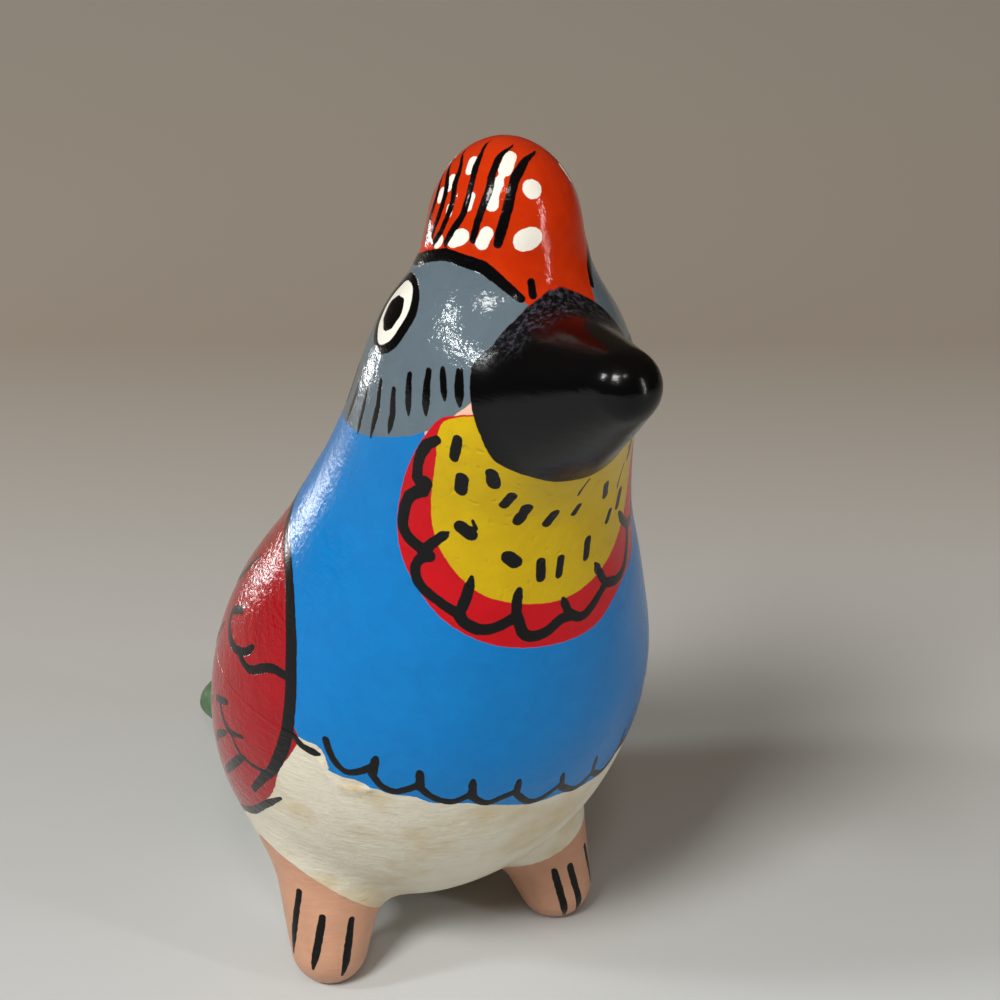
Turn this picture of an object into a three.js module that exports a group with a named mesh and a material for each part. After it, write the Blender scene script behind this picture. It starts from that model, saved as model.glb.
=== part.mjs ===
// Small painted clay bird, one fired body: an egg-shaped breast that leans forward, a round head with a
// tall domed crest, a thick blunt beak, two stub legs and a flat tail that reaches back to the floor.
// Millimetres, +Z up, the bird faces -Y. The origin is under the middle of the bounding box, on the floor.
import * as THREE from "three";

// Driving size: the height that all the rest is a share of. The crest ends a hair below it.
const HEIGHT = 80;

// Length of the mesh cell that the skin is built with.
const CELL = 0.0213 * HEIGHT;
// Newton steps that bring each mesh point onto the skin.
const SETTLE_STEPS = 4;

// Rounded masses: middle, half sizes, and how far the long axis leans forward from the vertical.
const BREAST = { middle: [0, 0.091, 0.338], half: [0.2385, 0.229, 0.35], lean: 37 };
const NECK = { middle: [0, -0.029, 0.6], half: [0.139, 0.153, 0.1425], lean: 0 };
const HEAD = { middle: [0, -0.1015, 0.7615], half: [0.126, 0.1365, 0.134], lean: 0 };
const CREST = { middle: [0, -0.107, 0.896], half: [0.0755, 0.073, 0.1005], lean: 0 };

// Tapered limbs with round ends: where each starts and ends, and its radius there.
const BEAK = { from: [0, -0.1375, 0.7465], to: [0, -0.336, 0.827], radii: [0.106, 0.036] };
const LEG = { from: [0.116, 0.0985, 0.188], to: [0.145, 0.0488, 0.0388], radii: [0.077, 0.0438] };
const TAIL = { from: [0, 0.25, 0.1875], to: [0, 0.635, 0.0435], radii: [0.0775, 0.045] };
// The tail flattens into a paddle: its width over its thickness, at the root and at the end.
const TAIL_FLATNESS = [1.5, 2.2];

// How softly each form runs into the ones before it.
const BLEND = { neck: 0.106, head: 0.121, crest: 0.04, beak: 0.025, tail: 0.075, leg: 0.0325 };

const mm = (share) => share * HEIGHT;
const point = (shares) => new THREE.Vector3(...shares.map(mm));

// Distance to an ellipsoid, near enough to mesh it.
function mass({ middle, half, lean }) {
  const centre = point(middle);
  const size = point(half);
  const turn = THREE.MathUtils.degToRad(lean);
  const axis = new THREE.Vector3(1, 0, 0);
  const local = new THREE.Vector3();
  return (p) => {
    local.copy(p).sub(centre).applyAxisAngle(axis, -turn).divide(size);
    const reach = local.length();
    const steepness = local.divide(size).length();
    return steepness === 0 ? -Math.min(...size.toArray()) : (reach * (reach - 1)) / steepness;
  };
}

// Distance to a tapered limb with round ends, which may be wider along X than it is thick.
function limb({ from, to, radii }, [rootFlatness, endFlatness] = [1, 1]) {
  const start = point(from);
  const along = point(to).sub(start);
  const [thick, thin] = radii.map(mm);
  const length = along.length();
  const slope = (thick - thin) / length;
  const cosine = Math.sqrt(1 - slope * slope);
  along.normalize();
  const local = new THREE.Vector3();
  return (p) => {
    local.copy(p).sub(start);
    const way = THREE.MathUtils.clamp(local.dot(along) / length, 0, 1);
    local.x /= THREE.MathUtils.lerp(rootFlatness, endFlatness, way);
    const run = local.dot(along);
    const away = Math.sqrt(Math.max(local.lengthSq() - run * run, 0));
    const lifted = run - (away * slope) / cosine;
    if (lifted < 0) return Math.hypot(run, away) - thick;
    if (lifted > length) return Math.hypot(run - length, away) - thin;
    return away * cosine + run * slope - thick;
  };
}

// Union of two distances with a soft joint of the given width.
function blend(a, b, width) {
  const share = THREE.MathUtils.clamp(0.5 + (0.5 * (b - a)) / width, 0, 1);
  return THREE.MathUtils.lerp(b, a, share) - width * share * (1 - share);
}

const breast = mass(BREAST);
const neck = mass(NECK);
const head = mass(HEAD);
const crest = mass(CREST);
const beak = limb(BEAK);
const tail = limb(TAIL, TAIL_FLATNESS);
const leg = limb(LEG);

// Distance to the whole bird, below zero inside. Both legs are one limb, mirrored across X = 0.
function skin(p) {
  const mirrored = new THREE.Vector3(Math.abs(p.x), p.y, p.z);
  let d = blend(breast(p), neck(p), mm(BLEND.neck));
  d = blend(d, head(p), mm(BLEND.head));
  d = blend(d, crest(p), mm(BLEND.crest));
  d = blend(d, beak(p), mm(BLEND.beak));
  d = blend(d, tail(p), mm(BLEND.tail));
  return blend(d, leg(mirrored), mm(BLEND.leg));
}

// Moves a point onto the skin. On the floor it only slides, so that the soles stay flat.
function settle(p, onFloor) {
  const step = 0.01 * CELL;
  for (let i = 0; i < SETTLE_STEPS; i += 1) {
    const d = skin(p);
    const slope = new THREE.Vector3(
      skin(new THREE.Vector3(p.x + step, p.y, p.z)) - d,
      skin(new THREE.Vector3(p.x, p.y + step, p.z)) - d,
      onFloor ? 0 : skin(new THREE.Vector3(p.x, p.y, p.z + step)) - d,
    ).divideScalar(step);
    p.addScaledVector(slope, -d / Math.max(slope.lengthSq(), 0.2));
  }
  return p;
}

// Closed mesh of the part of the skin above the floor: one point in each cell that the surface
// crosses, and one four-sided face around each grid edge that it cuts.
function skinMesh() {
  const reach = new THREE.Vector3(0.3, 0.8, 1.1).multiplyScalar(HEIGHT);
  const counts = [2 * reach.x, 1.5 * reach.y, reach.z].map((span) => Math.ceil(span / CELL) + 2);
  const [nx, ny, nz] = counts;
  const low = new THREE.Vector3(-reach.x - 0.31 * CELL, -0.5 * reach.y, -0.5 * CELL);
  const corner = (i, j, k) => new THREE.Vector3(i, j, k).multiplyScalar(CELL).add(low);
  const key = (i, j, k) => (k * ny + j) * nx + i;

  const depth = new Float64Array(nx * ny * nz);
  for (let k = 0; k < nz; k += 1)
    for (let j = 0; j < ny; j += 1)
      for (let i = 0; i < nx; i += 1) {
        const p = corner(i, j, k);
        depth[key(i, j, k)] = p.z > 0 ? skin(p) : CELL;
      }

  const steps = [[1, 0, 0], [0, 1, 0], [0, 0, 1]];
  const points = [];
  const pointOf = new Map();
  for (let k = 0; k < nz - 1; k += 1)
    for (let j = 0; j < ny - 1; j += 1)
      for (let i = 0; i < nx - 1; i += 1) {
        const inside = [];
        const outside = [];
        for (let c = 0; c < 8; c += 1) {
          const at = [i + (c & 1), j + ((c >> 1) & 1), k + (c >> 2)];
          (depth[key(...at)] < 0 ? inside : outside).push(at);
        }
        if (!inside.length || !outside.length) continue;
        const p = new THREE.Vector3();
        let cuts = 0;
        for (const a of inside)
          for (const b of outside) {
            if (Math.abs(a[0] - b[0]) + Math.abs(a[1] - b[1]) + Math.abs(a[2] - b[2]) !== 1) continue;
            const share = depth[key(...a)] / (depth[key(...a)] - depth[key(...b)]);
            p.add(corner(...a).lerp(corner(...b), share));
            cuts += 1;
          }
        p.divideScalar(cuts);
        const onFloor = k === 0;
        if (onFloor) p.z = 0;
        if (!onFloor || inside.length < 4) settle(p, onFloor);
        pointOf.set(key(i, j, k), points.length);
        points.push(p);
      }

  const triangles = [];
  for (let k = 0; k < nz - 1; k += 1)
    for (let j = 0; j < ny - 1; j += 1)
      for (let i = 0; i < nx - 1; i += 1)
        steps.forEach((step, axis) => {
          const here = depth[key(i, j, k)] < 0;
          const there = depth[key(i + step[0], j + step[1], k + step[2])] < 0;
          if (here === there) return;
          const [u, v] = [steps[(axis + 1) % 3], steps[(axis + 2) % 3]];
          const ring = [[0, 0], [1, 0], [1, 1], [0, 1]].map(([a, b]) =>
            pointOf.get(key(i - a * u[0] - b * v[0], j - a * u[1] - b * v[1], k - a * u[2] - b * v[2])),
          );
          if (!here) ring.reverse();
          const [a, b, c, d] = ring;
          const acrossIsShort = points[a].distanceTo(points[c]) < points[b].distanceTo(points[d]);
          triangles.push(...(acrossIsShort ? [a, b, c, a, c, d] : [b, c, d, b, d, a]));
        });

  const geometry = new THREE.BufferGeometry();
  geometry.setAttribute("position", new THREE.Float32BufferAttribute(points.flatMap((p) => p.toArray()), 3));
  geometry.setIndex(triangles);
  return geometry;
}

// The whole bird, moved so that the origin is under the middle of its bounding box.
function birdGeometry() {
  const geometry = skinMesh();
  geometry.computeBoundingBox();
  const middle = geometry.boundingBox.getCenter(new THREE.Vector3());
  geometry.translate(-middle.x, -middle.y, 0);
  geometry.computeVertexNormals();
  return geometry;
}

const paintedClay = new THREE.MeshStandardMaterial({ color: 0x0a84d6, roughness: 0.35, metalness: 0 });

const figurine = new THREE.Group();
const bird = new THREE.Mesh(birdGeometry(), paintedClay);
bird.name = "clay_bird";
figurine.add(bird);

export default figurine;
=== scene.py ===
"""Looks of a small hand-painted clay bird: one fine painted and varnished skin stands for its solid."""
import math

import bpy
import numpy as np
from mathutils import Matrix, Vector, kdtree, noise


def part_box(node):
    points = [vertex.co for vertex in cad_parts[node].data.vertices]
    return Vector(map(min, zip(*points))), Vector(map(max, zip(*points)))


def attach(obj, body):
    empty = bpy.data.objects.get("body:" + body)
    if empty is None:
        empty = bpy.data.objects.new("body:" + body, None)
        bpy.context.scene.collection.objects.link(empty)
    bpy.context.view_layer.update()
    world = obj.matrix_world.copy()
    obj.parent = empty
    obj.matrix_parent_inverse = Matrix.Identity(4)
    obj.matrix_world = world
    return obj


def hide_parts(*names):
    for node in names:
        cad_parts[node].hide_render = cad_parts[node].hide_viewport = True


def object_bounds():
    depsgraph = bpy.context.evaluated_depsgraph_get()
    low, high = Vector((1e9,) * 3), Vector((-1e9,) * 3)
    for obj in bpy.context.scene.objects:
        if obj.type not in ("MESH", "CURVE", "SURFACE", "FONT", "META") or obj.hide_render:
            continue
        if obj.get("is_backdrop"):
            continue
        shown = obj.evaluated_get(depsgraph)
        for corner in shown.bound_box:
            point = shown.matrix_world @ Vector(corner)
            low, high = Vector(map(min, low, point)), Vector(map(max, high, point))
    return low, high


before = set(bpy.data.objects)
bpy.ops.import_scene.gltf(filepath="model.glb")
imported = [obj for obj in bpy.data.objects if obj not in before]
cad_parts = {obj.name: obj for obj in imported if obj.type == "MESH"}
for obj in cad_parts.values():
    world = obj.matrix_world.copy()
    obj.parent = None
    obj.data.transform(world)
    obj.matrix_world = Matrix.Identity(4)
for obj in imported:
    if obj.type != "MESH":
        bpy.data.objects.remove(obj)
cad_low, cad_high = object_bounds()

# Lengths are in millimetres until the mesh is made. X = 0 is the bird's middle plane, it faces -Y, Z is the
# height above the floor, and Y = 0 is a little in front of the hips. The frame gives where that point lies.
METRE = 0.001
BREAST = {"middle": (0, 7.28, 27.04), "half": (19.08, 18.32, 28.0), "lean": 37}
NECK = {"middle": (0, -2.32, 48.0), "half": (11.12, 12.24, 11.4), "lean": 0}
HEAD = {"middle": (0, -8.12, 60.92), "half": (10.08, 10.92, 10.72), "lean": 0}
CREST = {"middle": (0, -8.56, 71.68), "half": (6.04, 5.84, 8.04), "lean": 0}
BEAK = {"start": (0, -11.0, 59.72), "end": (0, -26.88, 66.16), "radii": (8.48, 2.88)}
LEG = {"start": (9.28, 7.88, 15.04), "end": (11.6, 3.904, 3.104), "radii": (6.16, 3.504)}
TAIL = {"start": (0, 20.0, 15.0), "end": (0, 50.8, 3.48), "radii": (6.2, 3.6), "flatness": (1.5, 2.2)}
BLENDS = {"neck": 8.48, "head": 9.68, "crest": 3.2, "beak": 2.0, "tail": 6.0, "leg": 2.6}

# The camera of the photo, fitted to the bird's outline. Azimuth 0 is in front of the beak.
CAMERA_AZIMUTH = -26.4
CAMERA_ELEVATION = 23.95
CAMERA_DISTANCE = 175.0
AIM = (3.08, -1.53, 46.84)
PHOTO_FOCAL_PIXELS = 2090.0
PHOTO_WIDTH_PIXELS = 1000.0

BEAK_TIP_Y = BEAK["end"][1] - BEAK["radii"][1]
SHIFT_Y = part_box("clay_bird")[0].y / METRE - BEAK_TIP_Y


# The shape


def mass(p, middle, half, lean):
    """Distance to an ellipsoid whose long axis leans forward by lean degrees."""
    q = p - np.array(middle)
    c, s = math.cos(math.radians(lean)), math.sin(math.radians(lean))
    turned = np.stack([q[:, 0], q[:, 1] * c + q[:, 2] * s, q[:, 2] * c - q[:, 1] * s], 1)
    shares = turned / np.array(half)
    reach = np.linalg.norm(shares, axis=1)
    steepness = np.linalg.norm(shares / np.array(half), axis=1)
    return reach * (reach - 1) / np.maximum(steepness, 1e-9)


def limb(p, start, end, radii, flatness=(1, 1)):
    """Distance to a tapered limb with round ends, wider along X than it is thick by its flatness."""
    start = np.array(start, float)
    along = np.array(end, float) - start
    length = np.linalg.norm(along)
    along /= length
    q = p - start
    way = np.clip(q @ along / length, 0, 1)
    q = np.stack([q[:, 0] / (flatness[0] + (flatness[1] - flatness[0]) * way), q[:, 1], q[:, 2]], 1)
    run = q @ along
    away = np.sqrt(np.maximum((q * q).sum(1) - run * run, 0))
    slope = (radii[0] - radii[1]) / length
    cosine = math.sqrt(1 - slope * slope)
    lifted = run - away * slope / cosine
    side = away * cosine + run * slope - radii[0]
    return np.where(
        lifted < 0,
        np.hypot(run, away) - radii[0],
        np.where(lifted > length, np.hypot(run - length, away) - radii[1], side),
    )


def blend(a, b, width):
    """Union of two distances with a soft joint."""
    share = np.clip(0.5 + 0.5 * (b - a) / width, 0, 1)
    return b * (1 - share) + a * share - width * share * (1 - share)


def mirrored(p):
    return np.stack([np.abs(p[:, 0]), p[:, 1], p[:, 2]], 1)


def skin(p):
    """Distance to the whole bird, below zero inside."""
    d = blend(mass(p, **BREAST), mass(p, **NECK), BLENDS["neck"])
    d = blend(d, mass(p, **HEAD), BLENDS["head"])
    d = blend(d, mass(p, **CREST), BLENDS["crest"])
    d = blend(d, limb(p, **BEAK), BLENDS["beak"])
    d = blend(d, limb(p, **TAIL), BLENDS["tail"])
    return blend(d, limb(mirrored(p), **LEG), BLENDS["leg"])


def slope_of(p, step=0.05):
    """Gradient of the distance to the skin."""
    return np.stack([(skin(p + step * axis) - skin(p - step * axis)) / (2 * step) for axis in np.eye(3)], 1)


def settle(p, steps=2):
    """Points moved onto the skin."""
    for _ in range(steps):
        slope = slope_of(p)
        p = p - slope * (skin(p) / np.maximum((slope * slope).sum(1), 0.2))[:, None]
    return p


# Places on the skin


def cast(origins, directions, reach=60.0, stride=0.6):
    """Where rays from inside the bird first come out."""
    far = np.full(len(origins), reach)
    near = np.zeros(len(origins))
    inside = np.ones(len(origins), bool)
    for t in np.arange(stride, reach, stride):
        out = skin(origins + directions * t) > 0
        far = np.where(inside & out, t, far)
        near = np.where(inside & ~out, t, near)
        inside &= ~out
    for _ in range(14):
        middle = (near + far) / 2
        out = skin(origins + directions * middle[:, None]) > 0
        far = np.where(out, middle, far)
        near = np.where(out, near, middle)
    return origins + directions * near[:, None]


# Heights, and the Y of the bird's upright axis at each.
AXIS_HEIGHTS = (24.0, 48.0, 60.0, 70.0)
AXIS_Y = (7.0, -2.3, -7.9, -9.2)
DOME_MIDDLE = (0.0, -9.24, 66.0)
FOOT_MIDDLE = (11.5, 4.0)


def heading(angles):
    """Level directions at these degrees from the breast towards the bird's right wing."""
    a = np.radians(angles)
    return np.stack([-np.sin(a), -np.cos(a), np.zeros_like(a)], 1)


def around(track):
    """(degrees from the breast towards the right wing, height) on the body and head."""
    angles, heights = np.array(track, float).T
    axis = np.stack([np.zeros_like(heights), np.interp(heights, AXIS_HEIGHTS, AXIS_Y), heights], 1)
    return cast(axis, heading(angles))


def chart(p):
    """The (degrees, height) that around() would take to each point."""
    y = p[:, 1] - np.interp(p[:, 2], AXIS_HEIGHTS, AXIS_Y)
    return np.stack([np.degrees(np.arctan2(-p[:, 0], -y)), p[:, 2]], 1)


def on_dome(track):
    """(degrees from the front towards the right, degrees above level) on the crest."""
    turns, rises = np.array(track, float).T
    up = np.sin(np.radians(rises))[:, None] * np.array([0, 0, 1.0])
    directions = heading(turns) * np.cos(np.radians(rises))[:, None] + up
    return cast(np.tile(DOME_MIDDLE, (len(turns), 1)), directions)


def on_right_foot(track):
    """(degrees from the toes' front towards the outside, height) on the right foot and leg."""
    angles, heights = np.array(track, float).T
    x, y = FOOT_MIDDLE
    origins = np.stack([np.full_like(heights, -x), np.full_like(heights, y), heights], 1)
    return cast(origins, heading(angles))


def on_tail(track):
    """(sideways, distance behind the hips) on top of the tail."""
    x, y = np.array(track, float).T
    run = (y - TAIL["start"][1]) / (TAIL["end"][1] - TAIL["start"][1])
    z = TAIL["start"][2] + run * (TAIL["end"][2] - TAIL["start"][2])
    return cast(np.stack([x, y, z], 1), np.tile((0, 0, 1.0), (len(x), 1)))


def direction(azimuth, elevation):
    """From the bird outwards: azimuth 0 is in front of its beak, and -90 at its right wing."""
    a, e = math.radians(azimuth), math.radians(elevation)
    return Vector((math.sin(a) * math.cos(e), -math.cos(a) * math.cos(e), math.sin(e)))


def seen(pixels):
    """The points of the skin that the photo shows at these pixels, across and down from its upper left."""
    across, down = (np.array(pixels, float) - PHOTO_WIDTH_PIXELS / 2).T[:, :, None]
    away = np.array(direction(CAMERA_AZIMUTH, CAMERA_ELEVATION))
    right = np.cross((0, 0, 1.0), away)
    right /= np.linalg.norm(right)
    rays = right * across - np.cross(away, right) * down - away * PHOTO_FOCAL_PIXELS
    rays /= np.linalg.norm(rays, axis=1, keepdims=True)
    eye = np.array(AIM) + away * CAMERA_DISTANCE
    run = np.full(len(rays), CAMERA_DISTANCE - 70)
    for _ in range(160):
        run += 0.8 * skin(eye + rays * run[:, None])
    return eye + rays * run[:, None]


def shown(pixels):
    """The (degrees, height) of the places that the photo shows at these pixels."""
    return chart(seen(pixels)).tolist()


def shown_on_crest(pixels):
    """The (degrees from the front, degrees above level) of such places on the crest."""
    q = seen(pixels) - DOME_MIDDLE
    turns = np.degrees(np.arctan2(-q[:, 0], -q[:, 1]))
    rises = np.degrees(np.arctan2(q[:, 2], np.hypot(q[:, 0], q[:, 1])))
    return np.stack([turns, rises], 1).tolist()


def smooth(track, closed=False, per_span=7):
    """A track with points added along a Catmull-Rom curve through its own."""
    t = np.array(track, float)
    if len(t) < 2:
        return t
    if closed:
        t = np.concatenate([t[-1:], t, t[:2]])
    else:
        t = np.concatenate([2 * t[:1] - t[1:2], t, 2 * t[-1:] - t[-2:-1]])
    u = np.arange(per_span)[:, None] / per_span
    spans = []
    for a, b, c, d in zip(t, t[1:], t[2:], t[3:]):
        curve = 2 * b + (c - a) * u + (2 * a - 5 * b + 4 * c - d) * u**2 + (3 * b - a - 3 * c + d) * u**3
        spans.append(curve / 2)
    return np.concatenate(spans + ([] if closed else [t[-2:-1]]))


# The paint: strokes are lines on the skin with a half width, patches are closed outlines


strokes = {"black": [], "white": []}
rng = np.random.default_rng(7)


def brush(colour, track, width, ends=(1.0, 1.0), place=around, both_sides=False):
    """One brush stroke along a track. ends are the shares of the width at its start and end."""
    line = place(smooth(track))
    way = np.linspace(0, 1, len(line))
    taper = np.interp(way, (0, 0.3, 0.75, 1), (ends[0], 1, 1, ends[1]))
    tremble = 1 + 0.07 * np.interp(way, np.linspace(0, 1, 6), rng.uniform(-1, 1, 6))
    half = width / 2 * taper * tremble
    strokes[colour].append((line, half))
    if both_sides:
        strokes[colour].append((line * (-1, 1, 1), half))


def line_distance(p, line, half):
    """Distance from points to a line less its half width, counted only near the line."""
    margin = half.max() + 1.6
    near = ((p > line.min(0) - margin) & (p < line.max(0) + margin)).all(1)
    d = np.full(len(p), np.inf)
    q = p[near]
    best = np.full(len(q), np.inf)
    if len(line) == 1:
        best = np.linalg.norm(q - line[0], axis=1) - half[0]
    for a, b, ra, rb in zip(line, line[1:], half, half[1:]):
        span = b - a
        t = np.clip((q - a) @ span / max(span @ span, 1e-12), 0, 1)
        away = np.linalg.norm(q - a - t[:, None] * span, axis=1)
        best = np.minimum(best, away - ra - t * (rb - ra))
    d[near] = best
    return d


def inside_outline(c, outline):
    """Which chart points lie inside a closed chart outline."""
    inside = np.zeros(len(c), bool)
    for (ax, ay), (bx, by) in zip(outline, np.roll(outline, -1, axis=0)):
        if ay == by:
            continue
        crosses = (ay > c[:, 1]) != (by > c[:, 1])
        at = ax + (c[:, 1] - ay) * (bx - ax) / (by - ay)
        inside ^= crosses & (c[:, 0] < at)
    return inside


def edge_distance(p, line):
    """Distance from points to an edge on the skin."""
    return line_distance(p, line, np.zeros(len(line)))


class Patch:
    """A closed field of colour on the body, given in the body's chart."""

    def __init__(self, track, both_sides=False):
        self.outline = smooth(track, closed=True)
        self.both_sides = both_sides
        self.line = around(np.concatenate([self.outline, self.outline[:1]]))

    def distance(self, p):
        c = chart(p)
        if self.both_sides:
            c = np.stack([np.abs(c[:, 0]), c[:, 1]], 1)
            p = p * np.where(p[:, :1] > 0, (-1, 1, 1), (1, 1, 1))
        return np.where(inside_outline(c, self.outline), -1, 1) * edge_distance(p, self.line)


class Level:
    """A field of colour above a line right round the body, whose height depends on the angle."""

    both_sides = False

    def __init__(self, track):
        self.angles, self.heights = np.array(sorted(track, key=lambda place: place[0]), float).T
        turns = np.linspace(-180, 180, 241)
        self.line = around(np.stack([turns, self.height(turns)], 1))

    def height(self, angle):
        return np.interp(angle, self.angles, self.heights)

    def distance(self, p):
        c = chart(p)
        below = c[:, 1] < self.height(c[:, 0])
        return np.where(below, 1, -1) * edge_distance(p, self.line)


def two_sided(track):
    """A track of (degrees, height) from the front to the back, repeated on the other side."""
    return [(-angle, height) for angle, height in track] + list(track)


# Where the paint is. What goes through shown() or seen() is in pixels of the 1000 x 1000 photo. What the photo
# hides or shows edge on, and the toes, are in degrees and heights instead.

# Crest: orange-red above its edge, with black stripes and white dots

CREST_EDGE = ((521, 299), (508, 281), (490, 266), (470, 256), (450, 250), (432, 251))
CREST_EDGE_FRONT = ((13, 68.9), (0, 68.8), (-15, 68.6), (-35, 68.2), (-44, 69.2), (-58, 70.3))
CREST_EDGE_BACK = ((-78, 71.7), (-102, 71.3), (-126, 70.4), (-180, 69.4), (180, 69.4), (126, 70.4))
crest = Level([*shown(CREST_EDGE), *CREST_EDGE_FRONT, *CREST_EDGE_BACK])
CREST_BORDER = ((521, 299), (501, 282), (484, 268), (465, 261), (447, 255), (431, 256))
CREST_BORDER_BACK = ((126, 70.1), (180, 69.1))
CREST_BORDER_LEFT = (
    (-44, 69.1), (-51, 70.0), (-60, 70.7), (-78, 71.4), (-102, 71.0), (-126, 70.1), (-150, 69.4), (-180, 69.1),
)
brush("black", [*shown(CREST_BORDER), *CREST_BORDER_BACK], 0.95, (0.7, 1))
brush("black", CREST_BORDER_LEFT, 0.95, (0.7, 1))
brush("black", shown([(531, 282), (533, 296)]), 0.6)

STRIPES = (
    (0.78, [(535, 151), (526, 160), (517, 175), (512, 190), (506, 215), (500, 235), (498, 244)]),
    (0.58, [(513, 144), (503, 153), (494, 170), (489, 190), (480, 215), (473, 240)]),
    (0.55, [(492, 140), (482, 152), (475, 170), (470, 192), (463, 215), (453, 230), (446, 243)]),
    (0.52, [(467, 148), (461, 165), (455, 185), (452, 205), (442, 230), (434, 243)]),
    (0.55, [(455, 158), (447, 185), (441, 210), (432, 235)]),
    (0.62, [(447, 168), (437, 195), (430, 220), (426, 240)]),
)
for width, pixels in STRIPES:
    brush("black", shown_on_crest(pixels), width, (0.2, 0.9), on_dome)
brush("black", [(140, 64), (124, 58), (127, 50), (124, 41)], 0.72, (0.2, 0.9), on_dome)
for turn in (146, 164, -82, -98, -114, -130, -146, -162, 180):
    side = math.copysign(1, turn)
    track = [(turn, 78), (turn - 5 * side, 66), (turn - 3 * side, 55), (turn + 2 * side, 42)]
    brush("black", track, 0.62, (0.2, 0.9), on_dome)

DOTS = (
    (1.65, [(532, 189)]),
    (1.6, [(533, 237), (523, 241)]),
    (1.02, [(510, 156), (505, 170)]),
    (0.5, [(505, 170), (498, 182)]),
    (0.92, [(498, 183), (494, 190), (492, 205)]),
    (0.95, [(487, 233), (482, 243)]),
    (1.12, [(463, 236), (453, 240)]),
    (0.75, [(473, 160), (470, 170)]),
    (0.65, [(471, 196), (468, 207)]),
    (0.7, [(452, 178), (449, 188)]),
    (0.9, [(440, 239), (437, 243)]),
    (0.6, [(450, 208), (449, 214)]),
    (0.7, [(442, 191), (440, 199)]),
)
for width, pixels in DOTS:
    brush("white", shown_on_crest(pixels), width, place=on_dome)
for turn in (134, 155, 172, -74, -90, -106, -122, -138, -154, -171):
    brush("white", [(turn, 70), (turn, 67)], 1.0, place=on_dome)
    brush("white", [(turn, 50), (turn, 47.5)], 1.1, place=on_dome)

# Grey face down to a fringe of dashes, with an eye on each side

FACE_EDGE = (
    (470, 404), (459, 412), (443, 425), (430, 430), (410, 436), (385, 437), (364, 435), (351, 427),
)
face = Level(two_sided([(0, 66.1), (32, 64.6), *shown(FACE_EDGE), (130, 56.0), (180, 55.8)]))
bare_clay = Patch([(30, 60.8), (44, 60.5), (54, 59.2), (57, 59.9), (48, 61.4), (36, 64.6), (28, 63.2)])
CHEEK_DASHES = (
    (0.63, [(362, 376), (347, 420)]),
    (0.57, [(367, 389), (358, 434)]),
    (0.67, [(381, 381), (371, 437)]),
    (0.71, [(394, 390), (389, 433)]),
    (0.71, [(410, 375), (409, 415)]),
    (0.71, [(429, 371), (426, 415)]),
    (0.63, [(443, 369), (445, 400)]),
    (0.86, [(460, 371), (460, 406)]),
)
for width, pixels in CHEEK_DASHES:
    brush("black", shown(pixels), width, (0.75, 0.35), both_sides=True)
for turn in (124, 135, 146, 157, 168, 179):
    brush("black", [(turn, 61), (turn + 1, 57.2)], 0.66, (0.75, 0.35), both_sides=turn < 170)

EYE_MIDDLE = (105.0, 66.7)
EYE_RING = (3.3, 3.3)
EYE_WHITE = (2.25, 2.65)
PUPIL = (1.55, 1.45)


def eye_shapes(p):
    """Signed distances to the eye's black ring, its white and its pupil, on both sides of the head."""
    middle = around([EYE_MIDDLE])
    out = slope_of(middle)[0]
    q = p * np.where(p[:, :1] > 0, (-1, 1, 1), (1, 1, 1)) - middle[0]
    out /= np.linalg.norm(out)
    along = np.cross(out, (0, 0, 1.0))
    along /= np.linalg.norm(along)
    up = np.cross(along, out)
    flat = np.stack([q @ along, q @ up], 1)
    near = np.abs(q @ out) < 4

    def oval(half, middle=(0, 0), ripple=0.0):
        shares = (flat - middle) / half
        angle = np.arctan2(shares[:, 1], shares[:, 0])
        edge = 1 + ripple * (np.sin(3 * angle + 1) + 0.6 * np.sin(7 * angle))
        return np.where(near, (np.linalg.norm(shares, axis=1) - edge) * min(half), 3.0)

    white = oval(EYE_WHITE, ripple=0.02)
    ring = np.maximum(oval(EYE_RING, ripple=0.015), -white)
    return ring, white, oval(PUPIL, (0.05, -0.1), ripple=0.05)


# Bib: a yellow shield in a red border, with a scalloped black line and loose dashes

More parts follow.
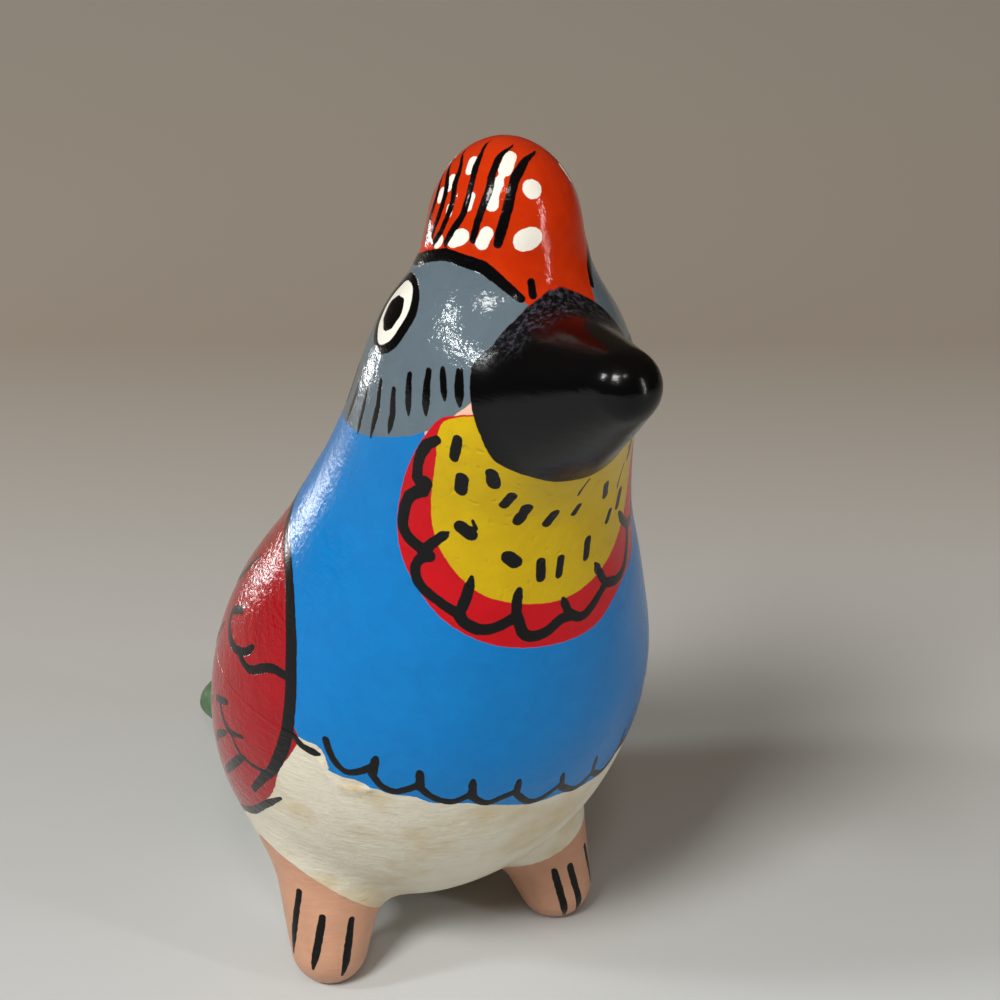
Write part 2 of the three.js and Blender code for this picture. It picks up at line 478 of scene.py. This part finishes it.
BIB_EDGE = (
    (437, 421), (418, 446), (404, 478), (397, 518), (401, 554), (420, 592), (450, 625), (498, 646), (552, 645),
    (594, 626), (620, 585), (632, 543),
)
BIB_EDGE_LEFT = ((-53, 49.5), (-58, 54.0), (-55, 59.0), (-46, 61.5), (0, 63.6), (40, 61.7))
bib = Patch([*shown(BIB_EDGE), *BIB_EDGE_LEFT])
SHIELD_EDGE = (
    (441, 425), (436, 460), (431, 499), (434, 534), (449, 564), (479, 593), (522, 604), (564, 599), (595, 577),
    (615, 544),
)
SHIELD_EDGE_LEFT = ((-40, 50.3), (-46, 54.5), (-48, 58.5), (-42, 61.5), (0, 63.6), (36, 61.8))
shield = Patch([*shown(SHIELD_EDGE), *SHIELD_EDGE_LEFT])
BIB_LINE = (
    (0.96, (0.8, 1), [(437, 440), (426, 446), (419, 460), (417, 478)]),
    (1.2, (1, 1), [(426, 482), (422, 490)]),
    (1, (1, 1), [(417, 478), (423, 489), (410, 496), (404, 511), (403, 527), (410, 539), (423, 550)]),
    (0.84, (1, 0.2), [(423, 550), (437, 540), (449, 532)]),
    (0.9, (1, 1), [(423, 550), (430, 556), (420, 559), (415, 570), (421, 586), (440, 602), (459, 614)]),
    (0.9, (1, 0.4), [(459, 614), (466, 598), (472, 577)]),
    (1, (1, 1), [(459, 614), (464, 622), (478, 629), (494, 628), (507, 622), (517, 616)]),
    (0.9, (1, 0.6), [(516, 620), (517, 603), (519, 590)]),
    (1, (1, 1), [(517, 616), (524, 634), (536, 636), (549, 630), (560, 620), (571, 615)]),
    (0.72, (1, 0.4), [(571, 615), (566, 606), (563, 598)]),
    (0.9, (1, 1), [(571, 615), (582, 616), (592, 606), (600, 593), (606, 583)]),
    (0.78, (1, 0.3), [(606, 583), (600, 573), (595, 563)]),
)
for width, ends, pixels in BIB_LINE:
    brush("black", shown(pixels), width, ends)
BIB_LINE_LEFT = (
    (0.9, (1, 1), [*shown([(606, 583)]), (-30, 43.9), (-35.5, 44.4), (-40.5, 46.1), (-42, 47.8)]),
    (0.78, (1, 0.4), [(-42, 47.8), (-37, 48.8), (-33, 50.1)]),
    (0.96, (1, 0.8), [(-42, 47.8), (-50, 48.1), (-52, 51.0), (-53, 55.0), (-50, 58.5)]),
)
for width, ends, track in BIB_LINE_LEFT:
    brush("black", track, width, ends)

BIB_DASHES = (
    (0.86, [(458, 440), (454, 457)]),
    (1.1, [(462, 479), (461, 490)]),
    (1.1, [(492, 474), (494, 484)]),
    (0.81, [(512, 496), (504, 505)]),
    (0.92, [(527, 508), (518, 521)]),
    (0.81, [(555, 513), (547, 523)]),
    (0.54, [(579, 505), (574, 513)]),
    (0.7, [(606, 484), (605, 495)]),
    (0.59, [(610, 511), (607, 521)]),
    (1.1, [(461, 527), (471, 535)]),
    (1.2, [(508, 557), (515, 562)]),
    (0.84, [(541, 562), (541, 578)]),
    (0.7, [(561, 558), (559, 575)]),
    (0.7, [(588, 539), (586, 557)]),
    (0.76, [(620, 491), (617, 506)]),
    (0.76, [(631, 441), (628, 456)]),
    (0.24, [(590, 478), (578, 495)]),
    (0.24, [(624, 463), (617, 488)]),
    (0.32, [(473, 521), (476, 529)]),
)
for width, pixels in BIB_DASHES:
    brush("black", shown(pixels), width)

# Blue breast down to a scalloped hem, cream below it

HEM_ARCS = (
    [(326, 740), (330, 752), (338, 765), (348, 772), (360, 771), (371, 767)],
    [(372, 774), (382, 786), (394, 791), (406, 789), (418, 785)],
    [(420, 787), (430, 795), (442, 800), (454, 801), (469, 795)],
    [(473, 797), (482, 802), (490, 802), (502, 797), (514, 792)],
    [(518, 795), (527, 801), (536, 800), (546, 795), (559, 785)],
    [(562, 787), (570, 789), (580, 785), (592, 773)],
)
HEM_ARCS_LEFT = (
    [(-24, 23.8), (-28.5, 23), (-33, 23.3), (-37, 24.6)],
    [(-38, 24.3), (-42, 24.2), (-46, 25), (-50, 26.8)],
    [(-51, 26.4), (-54, 26.4), (-58, 27.6), (-61, 29.6)],
)
for track in (*map(shown, HEM_ARCS), *HEM_ARCS_LEFT):
    brush("black", track, 0.72)
HEM_SPIKES = (
    (0.78, 0.8, [(373, 772), (376, 758)]),
    (0.78, 0.8, [(420, 786), (420, 772)]),
    (0.72, 0.6, [(472, 795), (473, 780)]),
    (0.66, 0.6, [(516, 793), (519, 780)]),
    (0.58, 0.4, [(561, 786), (563, 773)]),
    (0.52, 0.3, [(592, 773), (597, 756)]),
)
for width, tip, pixels in HEM_SPIKES:
    brush("black", shown(pixels), width, (1.1, tip))
brush("black", [(-37.5, 24.5), (-37.5, 26.4)], 0.55, (1.1, 0.5))
brush("black", [(-50.5, 26.6), (-50.8, 28.4)], 0.6, (1.1, 0.6))
HEM_EDGE = (
    (291, 732), (306, 741), (315, 744), (322, 750), (327, 760), (330, 771), (342, 777), (356, 780), (370, 786),
    (390, 794), (414, 796), (430, 802), (470, 803), (506, 805), (530, 804), (559, 794), (580, 787), (597, 776),
)
HEM_EDGE_LEFT = ((-36, 23.6), (-44, 24.2), (-52, 25.9), (-58, 27.4), (-61, 29.8), (-66, 30.4))
HEM_EDGE_BACK = ((-120, 31), (-180, 31), (180, 31), (120, 31))
breast = Level([*shown(HEM_EDGE), *HEM_EDGE_LEFT, *HEM_EDGE_BACK])
PAINT_LIP = ((322, 761), (328, 774), (336, 783), (348, 789), (360, 790), (370, 788))

# Red wings with a bold leading line and a few feather strokes

WING_EDGE = (
    (290, 592), (291, 630), (291, 660), (291, 690), (293, 713), (294, 726), (299, 739), (296, 746), (288, 758),
    (280, 768), (277, 778), (275, 786), (268, 798),
)
WING_EDGE_LOW = ((91, 17.2), (103, 15), (114, 14.6), (128, 18.5))
WING_EDGE_BACK = ((141, 26.0), (148, 34.0), (147, 42.0), (140, 46.6), (132, 47.0), (113, 45.2), (98.5, 43.8))
wing = Patch([*shown(WING_EDGE), *WING_EDGE_LOW, *WING_EDGE_BACK], both_sides=True)
LEADING_LINE = (
    (290, 592), (291, 630), (291, 660), (291, 690), (289, 716), (286, 738), (278, 760), (268, 774), (254, 789),
)
TRAILING_LINE = [(134, 46.9), (143, 45.5), (147.5, 40), (147.5, 33.5), (141, 26), (128, 18.8), (114, 15)]
LEADING_LINE_TOP = ((134, 46.9), (113, 45.2), (98.5, 43.8))
brush("black", [*LEADING_LINE_TOP, *shown(LEADING_LINE)], 1.4, (0.8, 0.5), both_sides=True)
brush("black", TRAILING_LINE, 0.95, (1, 0.6), both_sides=True)
WING_STROKES = (
    (0.75, (0.8, 0.4), shown([(293, 734), (302, 745), (312, 751), (320, 754)])),
    (0.8, (0.6, 0.5), [(104, 15.4), *shown([(253, 810), (266, 804), (281, 798)])]),
    (0.85, (0.8, 0.9), shown([(242, 610), (233, 611), (230, 624), (231, 639), (235, 648), (241, 652)])),
    (0.8, (0.9, 0.6), shown([(241, 652), (247, 651), (253, 647)])),
    (0.8, (0.8, 1), shown([(238, 651), (245, 665), (252, 670), (264, 668), (274, 669), (290, 678)])),
    (0.75, (0.8, 0.7), shown([(217, 698), (227, 702)])),
    (0.7, (0.8, 0.5), shown([(221, 699), (221, 708), (224, 720), (230, 731), (243, 737)])),
    (0.75, (0.7, 0.7), shown([(217, 738), (226, 732)])),
    (0.45, (0.7, 1), shown([(230, 730), (233, 738), (240, 753), (250, 763), (266, 772)])),
    (0.85, (0.8, 0.5), shown([(227, 770), (236, 762), (245, 757)])),
    (0.8, (0.6, 0.5), [(138, 38.5), (131, 36.5), (125, 38.0), (120, 41.0)]),
    (0.8, (0.6, 0.5), [(140, 31.0), (131, 29.0), (123, 30.5), (117, 33.5)]),
    (0.75, (0.6, 0.5), [(132, 23.5), (123, 22.0), (115, 24.0), (109, 26.4)]),
)
for width, ends, track in WING_STROKES:
    brush("black", track, width, ends, both_sides=True)

# Green back and tail

# The patch lies across the chart's seam, so its angles run on past 180 degrees.
back = Patch([
    (180, 50.0), (166, 49.0), (153, 46.0), (143, 38.0), (138, 26.0), (130, 17.0), (150, 11.0), (180, 9.0),
    (210, 11.0), (230, 17.0), (222, 26.0), (217, 38.0), (207, 46.0), (194, 49.0),
])
for row, height in enumerate((44.5, 39.5, 34.5, 29.5, 24.5)):
    for turn in (173, 159) if row % 2 else (180, 166):
        brush("black", [(turn, height), (turn, height - 2.2)], 0.75, (1, 0.4), both_sides=turn != 180)
brush("black", [(180, 50.0), (166, 49.0), (153, 46.2), (148, 43.0)], 0.8, both_sides=True)
for x, end in ((0, 52.5), (-3.4, 52.0), (3.4, 52.0)):
    brush("black", [(0.55 * x, 34), (0.8 * x, 42), (x, end)], 0.7, (0.4, 0.9), on_tail)
for x in (-5.6, 5.6):
    brush("black", [(0.85 * x, 36), (0.95 * x, 42), (x, 48)], 0.6, (0.4, 0.7), on_tail)

# Legs with toe lines

TOES = {
    -1: ([(79, 10.0), (88, 3.4)], [(33, 8.0), (48, 2.7)], [(-16, 7.4), (5, 1.9)]),
    1: ([(50, 7.4), (62, 2.2)], [(2, 6.5), (22, 0.9)], [(-26, 6.4), (-4, 0.8)]),
}
for side, lines in TOES.items():
    for track in lines:
        brush("black", track, 0.75, (0.9, 0.35), lambda t, side=side: on_right_foot(t) * (-side, 1, 1))


# Where the beak's black begins: pixels of the photo, and for the side it hides (degrees from the top round to
# the bird's right, distance ahead of the beak's start).
BEAK_EDGE = ((604, 309), (575, 292), (538, 299), (515, 321), (492, 347), (472, 366), (480, 435), (494, 461))
BEAK_EDGE_HIDDEN = ((-180, 7.5), (-150, 7.2), (-125, 6.3), (-88, 6.8), (150, 7.2), (180, 7.5))

# How far from the beak's axis its paint can reach.
BEAK_PAINT_REACH = 9.4


def beak_places(p):
    """Distance along the beak, turn round it from the top in degrees, and distance from its axis."""
    root = np.array(BEAK["start"])
    along = np.array(BEAK["end"]) - root
    along /= np.linalg.norm(along)
    up = np.cross((1.0, 0, 0), -along)
    q = p - root
    run = q @ along
    turn = np.degrees(np.arctan2(-q[:, 0], q @ up * np.sign(up[2])))
    return run, turn, np.linalg.norm(q - run[:, None] * along, axis=1)


def beak_ring():
    """The turns in rising order, and how far ahead of the beak's start its black begins at each."""
    run, turn, _ = beak_places(seen(BEAK_EDGE))
    return np.array(sorted([*zip(turn, run), *BEAK_EDGE_HIDDEN])).T


BEAK_RING = beak_ring()


def beak_paint(p):
    """Distance to the black beak: all that lies ahead of a ring round its root."""
    run, turn, away = beak_places(p)
    return np.where(away < BEAK_PAINT_REACH, (np.interp(turn, *BEAK_RING) - run) * 0.9, 3.0)


def brow(p):
    """How much of the coarse dry brushwork shows: only in the black's upper edge."""
    run, turn, away = beak_places(p)
    behind = run - np.interp(turn, *BEAK_RING)
    upper = np.clip((62 - np.abs(turn)) / 22, 0, 1)
    return np.clip((3.0 - behind) / 1.5, 0, 1) * upper * (away < BEAK_PAINT_REACH)


TAIL_PAINT_Y = 26.0


def leg_paint(p):
    """Distance to the bare legs, which start a little under the belly."""
    top = np.where(p[:, 0] < 0, 1.2 + 0.78 * np.abs(p[:, 0]), 3.9 + 0.42 * np.abs(p[:, 0]))
    return np.maximum((p[:, 2] - top) * 0.8, limb(mirrored(p), **LEG) - 0.9)


def back_paint(p):
    """Distance to the green back, whose chart runs on past 180 degrees, and to the rear of the tail."""
    c = chart(p)
    c[:, 0] = np.mod(c[:, 0], 360)
    back_distance = np.where(inside_outline(c, back.outline), -1, 1) * edge_distance(p, back.line)
    tail_distance = np.maximum(limb(p, **TAIL) - 0.7, TAIL_PAINT_Y - p[:, 1])
    return np.minimum(back_distance, tail_distance)


PAINTS = {
    "breast": breast.distance,
    "back": back_paint,
    "wing": wing.distance,
    "face": face.distance,
    "bare": bare_clay.distance,
    "leg": leg_paint,
    "bib": bib.distance,
    "shield": shield.distance,
    "crest": crest.distance,
    "beak": beak_paint,
}


def all_strokes(p, colour):
    d = np.full(len(p), 3.0)
    for line, half in strokes[colour]:
        d = np.minimum(d, line_distance(p, line, half))
    return d


# The mesh: the solid's own faces, made finer where the paint has an edge

# How long the faces' edges may be beside an edge of paint and far from one, and how near counts as beside.
FINE_EDGE = 0.27
PLAIN_EDGE = 0.95
FINE_REACH = 0.36
# How much less near that is for the eyes, the beak's black and the legs.
SPECIAL_MARGIN = 0.35
# Spacing of the points that stand for an edge of paint, and how often the faces are split.
SAMPLE_STEP = 0.4
SPLITS = 4
BLACK_THICKNESS = 0.035
WHITE_THICKNESS = 0.03


def merged(node):
    """Points in the bird's frame and triangles of a node, with shared corners."""
    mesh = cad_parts[node].data
    mesh.calc_loop_triangles()
    co = np.zeros(len(mesh.vertices) * 3)
    mesh.vertices.foreach_get("co", co)
    triangles = np.zeros(len(mesh.loop_triangles) * 3, int)
    mesh.loop_triangles.foreach_get("vertices", triangles)
    co = co.reshape(-1, 3)
    _, kept, same = np.unique(np.round(co, 7), axis=0, return_index=True, return_inverse=True)
    points = co[kept] / METRE - (0, SHIFT_Y, 0)
    return points, same.reshape(-1)[triangles].reshape(-1, 3)


def split(points, faces, wanted):
    """Cuts each edge longer than wanted(middle) in two, and divides the faces round it."""
    sides = np.sort(faces[:, [[0, 1], [1, 2], [2, 0]]], axis=2)
    edges, which = np.unique(sides.reshape(-1, 2), axis=0, return_inverse=True)
    ends = points[edges]
    middles = ends.mean(1)
    cut = np.linalg.norm(ends[:, 0] - ends[:, 1], axis=1) > wanted(middles)
    number = np.full(len(edges), -1)
    number[cut] = len(points) + np.arange(cut.sum())
    new = number[which.reshape(-1)].reshape(-1, 3)
    made = []
    for first in range(3):
        f, m = np.roll(faces, -first, axis=1), np.roll(new, -first, axis=1)
        one = (m[:, 0] >= 0) & (m[:, 1] < 0) & (m[:, 2] < 0)
        made.append(np.stack([f[one, 0], m[one, 0], f[one, 2]], 1))
        made.append(np.stack([m[one, 0], f[one, 1], f[one, 2]], 1))
        two = (m[:, 0] >= 0) & (m[:, 1] >= 0) & (m[:, 2] < 0)
        made.append(np.stack([m[two, 0], f[two, 1], m[two, 1]], 1))
        made.append(np.stack([f[two, 0], m[two, 0], m[two, 1]], 1))
        made.append(np.stack([f[two, 0], m[two, 1], f[two, 2]], 1))
    three = (new >= 0).all(1)
    f, m = faces[three], new[three]
    made.append(m)
    made += [np.stack([f[:, k], m[:, k], m[:, k - 1]], 1) for k in range(3)]
    made.append(faces[(new < 0).all(1)])
    return np.concatenate([points, middles[cut]]), np.concatenate(made)


def edge_samples():
    """Points along every stroke and every patch edge."""
    lines = [line for colour in strokes.values() for line, _ in colour]
    for patch in (breast, wing, face, bare_clay, bib, shield, crest):
        lines.append(patch.line)
        if patch.both_sides:
            lines.append(patch.line * (-1, 1, 1))
    lines.append(back.line)
    samples = []
    for line in lines:
        for a, b in zip(line, line[1:]):
            count = max(1, int(np.linalg.norm(b - a) / SAMPLE_STEP))
            samples.append(a + (b - a) * (np.arange(count) / count)[:, None])
        samples.append(line[-1:])
    return np.concatenate(samples)


def skin_mesh():
    points, faces = merged("clay_bird")
    samples = edge_samples()
    tree = kdtree.KDTree(len(samples))
    for i, sample in enumerate(samples):
        tree.insert(sample, i)
    tree.balance()

    def wanted(p):
        special = np.minimum(np.abs(beak_paint(p)), np.abs(leg_paint(p)))
        ring, white, pupil = eye_shapes(p)
        for eye_shape in (ring, white, pupil):
            special = np.minimum(special, np.abs(eye_shape))
        away = np.minimum([tree.find(q)[2] for q in p], special + SPECIAL_MARGIN)
        return np.clip(FINE_EDGE + away - FINE_REACH, FINE_EDGE, PLAIN_EDGE)

    for _ in range(SPLITS):
        points, faces = split(points, faces, wanted)
        loose = points[:, 2] > 0.01
        points[loose] = settle(points[loose])
        points[:, 2] = np.maximum(points[:, 2], 0)
    return points, faces


def unevenness(p):
    """Slow hand-made bumps in the clay, and the thickness of the paint."""
    bumps = []
    for q in p:
        q = Vector(q)
        bumps.append(noise.noise(q * 0.09) + 0.5 * noise.noise(q * 0.21 + Vector((9, 4, 2))))
    lip = edge_distance(p, around(smooth(shown(PAINT_LIP))))
    ridge = 0.28 * np.exp(-((np.minimum(lip, 5) / 0.32) ** 2))
    return 0.07 * np.array(bumps) + ridge


def thickness(d, height, edge=0.12):
    """Height of a coat of paint whose edge is at d = 0."""
    return height * np.clip(0.5 - d / (2 * edge), 0, 1)


points, faces = skin_mesh()
ring, white, pupil = eye_shapes(points)
fields = {name: distance(points) for name, distance in PAINTS.items()}
fields["brow"] = brow(points)
fields["white"] = np.minimum(all_strokes(points, "white"), white)
fields["black"] = np.minimum(all_strokes(points, "black"), np.minimum(ring, pupil))
lift = unevenness(points)
lift += thickness(fields["black"], BLACK_THICKNESS) + thickness(fields["white"], WHITE_THICKNESS)
lift *= np.clip(points[:, 2] / 1.5, 0, 1)
out = slope_of(points)
out /= np.linalg.norm(out, axis=1, keepdims=True)
placed = (points + out * lift[:, None] + (0, SHIFT_Y, 0)) * METRE

mesh = bpy.data.meshes.new("painted_bird")
mesh.from_pydata(placed.tolist(), [], faces.tolist())
mesh.validate()
for name, values in fields.items():
    attribute = mesh.attributes.new(name, "FLOAT", "POINT")
    attribute.data.foreach_set("value", np.clip(values, -2, 2).astype(np.float32))
mesh.polygons.foreach_set("use_smooth", np.ones(len(mesh.polygons), bool))
bird = bpy.data.objects.new("painted_bird", mesh)
bpy.context.scene.collection.objects.link(bird)
print("painted_bird has", len(mesh.polygons), "triangles")


# Materials


class Nodes:
    """Short calls for the nodes of one material, or of the world."""

    def __init__(self, owner):
        owner.use_nodes = True
        self.tree = owner.node_tree
        self.tree.nodes.clear()

    def put(self, socket, value):
        if isinstance(value, bpy.types.NodeSocket):
            self.tree.links.new(value, socket)
        else:
            socket.default_value = value

    def add(self, kind, inputs=(), **settings):
        made = self.tree.nodes.new(kind)
        for name, value in settings.items():
            setattr(made, name, value)
        for key, value in dict(inputs).items():
            self.put(made.inputs[key], value)
        return made

    def math(self, operation, a, b=0.0, c=0.0):
        return self.add("ShaderNodeMath", {0: a, 1: b, 2: c}, operation=operation).outputs[0]

    def mix(self, factor, a, b):
        made = self.add("ShaderNodeMix", {0: factor, 6: a, 7: b}, data_type="RGBA")
        return made.outputs[2]

    def mix_value(self, factor, a, b):
        return self.add("ShaderNodeMix", {0: factor, 2: a, 3: b}, data_type="FLOAT").outputs[0]

    def ramp(self, value, low, high, to_low=0.0, to_high=1.0):
        made = self.add("ShaderNodeMapRange", {0: value, 1: low, 2: high, 3: to_low, 4: to_high}, clamp=True)
        return made.outputs[0]

    def noise(self, vector, scale, detail=2.0, roughness=0.5, distortion=0.0):
        inputs = {"Vector": vector, "Scale": scale, "Detail": detail}
        inputs.update({"Roughness": roughness, "Distortion": distortion})
        return self.add("ShaderNodeTexNoise", inputs).outputs["Fac"]

    def attribute(self, name):
        return self.add("ShaderNodeAttribute", attribute_name=name, attribute_type="GEOMETRY").outputs["Fac"]


def linear(red, green, blue):
    """A colour given as 0 to 255 display values, as the shader's linear RGBA."""
    def one(v):
        v /= 255
        return v / 12.92 if v <= 0.04045 else ((v + 0.055) / 1.055) ** 2.4
    return (one(red), one(green), one(blue), 1.0)


# Each coat of paint, from the first to the last: field, two tones, roughness and how lumpy it is.
COATS = (
    ("breast", (0, 104, 172), (0, 119, 190), 0.22, 0.9),
    ("back", (36, 78, 32), (58, 102, 46), 0.34, 0.6),
    ("leg", (174, 128, 103), (193, 147, 120), 0.34, 0.6),
    ("wing", (132, 0, 11), (160, 0, 17), 0.09, 1.3),
    ("bare", (214, 168, 140), (226, 184, 158), 0.34, 0.5),
    ("face", (84, 97, 106), (96, 110, 119), 0.1, 0.9),
    ("bib", (170, 0, 12), (194, 0, 18), 0.2, 0.7),
    ("shield", (182, 150, 0), (202, 170, 0), 0.26, 0.8),
    ("crest", (174, 34, 4), (198, 54, 12), 0.09, 0.55),
    ("beak", (3, 3, 4), (6, 6, 7), 0.19, 0.15),
    ("white", (224, 220, 208), (236, 232, 222), 0.2, 0.45),
    ("black", (4, 4, 5), (8, 7, 8), 0.16, 0.5),
)
CREAM = ((196, 190, 170), (218, 212, 196))


def paint_material():
    material = bpy.data.materials.new("painted_clay")
    n = Nodes(material)
    position = n.add("ShaderNodeTexCoord").outputs["Object"]
    spot = n.add("ShaderNodeVectorMath", {0: position, 3: 1 / METRE}, operation="SCALE").outputs[0]
    tones = n.noise(spot, 0.35, 4.0, 0.6, 1.2)
    wobble = n.math("MULTIPLY", n.math("SUBTRACT", n.noise(spot, 1.6, 3.0), 0.5), 0.16)

    stains = n.ramp(n.noise(spot, 0.16, 3.0, 0.6), 0.5, 0.7)
    cream = n.mix(tones, linear(*CREAM[0]), linear(*CREAM[1]))
    colour = n.mix(n.math("MULTIPLY", stains, 0.6), cream, linear(186, 162, 112))
    roughness = n.mix_value(tones, 0.36, 0.5)
    lumps = 1.1
    for name, dark, light, rough, lump in COATS:
        edge = n.math("ADD", n.attribute(name), wobble)
        cover = n.ramp(edge, 0.03, -0.03)
        tone = n.mix(tones, linear(*dark), linear(*light))
        colour = n.mix(cover, colour, tone)
        roughness = n.mix_value(cover, roughness, rough)
        lumps = n.mix_value(cover, lumps, lump)

    dry = n.math("MULTIPLY", n.attribute("brow"), n.ramp(n.attribute("beak"), 0.03, -0.03))
    specks = n.math("MULTIPLY", dry, n.ramp(n.noise(spot, 2.6, 3.0, 0.7), 0.48, 0.66))
    colour = n.mix(specks, colour, linear(60, 60, 71))
    roughness = n.mix_value(dry, roughness, 0.34)
    lumps = n.mix_value(dry, lumps, 1.8)

    peel = n.noise(spot, 1.0, 2.0, 0.55)
    fine = n.noise(spot, 2.8, 2.0, 0.55)
    height = n.math("ADD", n.math("MULTIPLY", peel, 0.06), n.math("MULTIPLY", fine, 0.035))
    height = n.math("MULTIPLY", height, lumps)
    along = n.add("ShaderNodeVectorMath", {0: spot, 1: (0.35, 0.35, 2.2)}, operation="MULTIPLY").outputs[0]
    outside_breast = n.ramp(n.attribute("breast"), -0.03, 0.03, 0.02, 0.08)
    bristles = n.math("MULTIPLY", n.noise(along, 1.0, 3.0, 0.6), outside_breast)
    in_shield = n.ramp(n.attribute("shield"), 0.03, -0.03)
    pits = n.math("MULTIPLY", n.ramp(n.noise(spot, 1.5, 0.0), 0.7, 0.84), in_shield)
    pits = n.math("MULTIPLY", pits, n.ramp(n.attribute("beak"), 0.0, 0.4))
    height = n.math("ADD", n.math("SUBTRACT", height, n.math("MULTIPLY", pits, 0.05)), bristles)
    bump = n.add("ShaderNodeBump", {"Strength": 1.0, "Distance": METRE, "Height": height})
    shader = n.add("ShaderNodeBsdfPrincipled", {
        "Base Color": colour,
        "Roughness": roughness,
        "IOR": 1.29,
        "Normal": bump.outputs[0],
    })
    n.add("ShaderNodeOutputMaterial", {"Surface": shader.outputs[0]})
    return material


mesh.materials.append(paint_material())
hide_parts("clay_bird")
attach(bird, "root")


# Camera, floor and light

def place_towards(thing, target, azimuth, elevation, distance):
    """Puts a camera or light at a distance in millimetres from a target, looking at it."""
    away = direction(azimuth, elevation)
    thing.location = (Vector(target) + away * distance + Vector((0, SHIFT_Y, 0))) * METRE
    thing.rotation_mode = "QUATERNION"
    thing.rotation_quaternion = away.to_track_quat("Z", "Y")


camera = bpy.data.objects.new("camera", bpy.data.cameras.new("camera"))
camera.data.lens = camera.data.sensor_width * PHOTO_FOCAL_PIXELS / PHOTO_WIDTH_PIXELS
camera.data.clip_start = 0.01
camera.data.clip_end = 20
place_towards(camera, AIM, CAMERA_AZIMUTH, CAMERA_ELEVATION, CAMERA_DISTANCE)
bpy.context.scene.collection.objects.link(camera)
bpy.context.scene.camera = camera


def floor_material():
    material = bpy.data.materials.new("floor_with_painted_falloff")
    n = Nodes(material)
    position = n.add("ShaderNodeTexCoord").outputs["Object"]
    away = direction(CAMERA_AZIMUTH, 0)
    inputs = {0: position, 1: (-away.x, -away.y, 0)}
    depth = n.add("ShaderNodeVectorMath", inputs, operation="DOT_PRODUCT").outputs["Value"]
    # Painted shade and painted light: the floor turns darker and warmer away from the camera, partly the
    # wall's colour further back and partly shade for the lamps' falloff, then lighter again far off to make up
    # for that falloff.
    colour = n.mix(n.ramp(depth, -0.03, 0.16), linear(197, 200, 201), linear(156, 146, 134))
    colour = n.mix(n.ramp(depth, 0.16, 0.5), colour, linear(198, 190, 180))
    shader = n.add("ShaderNodeBsdfPrincipled", {"Base Color": colour, "Roughness": 0.6})
    n.add("ShaderNodeOutputMaterial", {"Surface": shader.outputs[0]})
    return material


FLOOR_HALF = 3.0
floor_mesh = bpy.data.meshes.new("floor")
corners = [(-1, -1, 0), (1, -1, 0), (1, 1, 0), (-1, 1, 0)]
floor_mesh.from_pydata([Vector(corner) * FLOOR_HALF for corner in corners], [], [(0, 1, 2, 3)])
floor_mesh.materials.append(floor_material())
floor = bpy.data.objects.new("floor", floor_mesh)
bpy.context.scene.collection.objects.link(floor)
floor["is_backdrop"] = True


def area_light(name, azimuth, elevation, distance, width, height, watts, colour):
    lamp = bpy.data.lights.new(name, "AREA")
    lamp.shape = "RECTANGLE"
    lamp.size = width * METRE
    lamp.size_y = height * METRE
    lamp.energy = watts
    lamp.color = colour
    made = bpy.data.objects.new(name, lamp)
    place_towards(made, (0, 0, 40), azimuth, elevation, distance)
    bpy.context.scene.collection.objects.link(made)


# The key lamp is a broad window to the bird's right and gives the shadow. The others are small and leave the
# sheens on the glossy paint.
area_light("key", -56, 44, 1200, 330, 300, 13.0, (1.0, 0.99, 0.96))
area_light("side_lamp", -99, 34, 700, 85, 75, 1.5, (0.96, 0.99, 1.0))
area_light("brow_lamp", -22, 50, 900, 90, 80, 0.7, (1.0, 0.97, 0.94))
area_light("front_strip", 36, 14, 500, 16, 280, 0.6, (1.0, 0.97, 0.93))
area_light("back_gap", -160, -5, 300, 60, 18, 0.07, (1.0, 0.99, 0.98))


def world_light():
    world = bpy.data.worlds.new("studio")
    world.use_nodes = True
    n = Nodes(world)
    facing = n.add("ShaderNodeTexCoord").outputs["Generated"]
    upward = n.add("ShaderNodeSeparateXYZ", {0: facing}).outputs["Z"]
    glow = n.ramp(upward, 0.0, 0.9, 0.04, 0.13)
    sky = n.add("ShaderNodeBackground", {"Color": (1.0, 0.78, 0.55, 1.0), "Strength": glow})
    n.add("ShaderNodeOutputWorld", {"Surface": sky.outputs[0]})
    return world


bpy.context.scene.world = world_light()
bpy.context.scene.view_settings.view_transform = "Standard"

corners = [list(corner) for corner in (cad_low, cad_high, *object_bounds())]
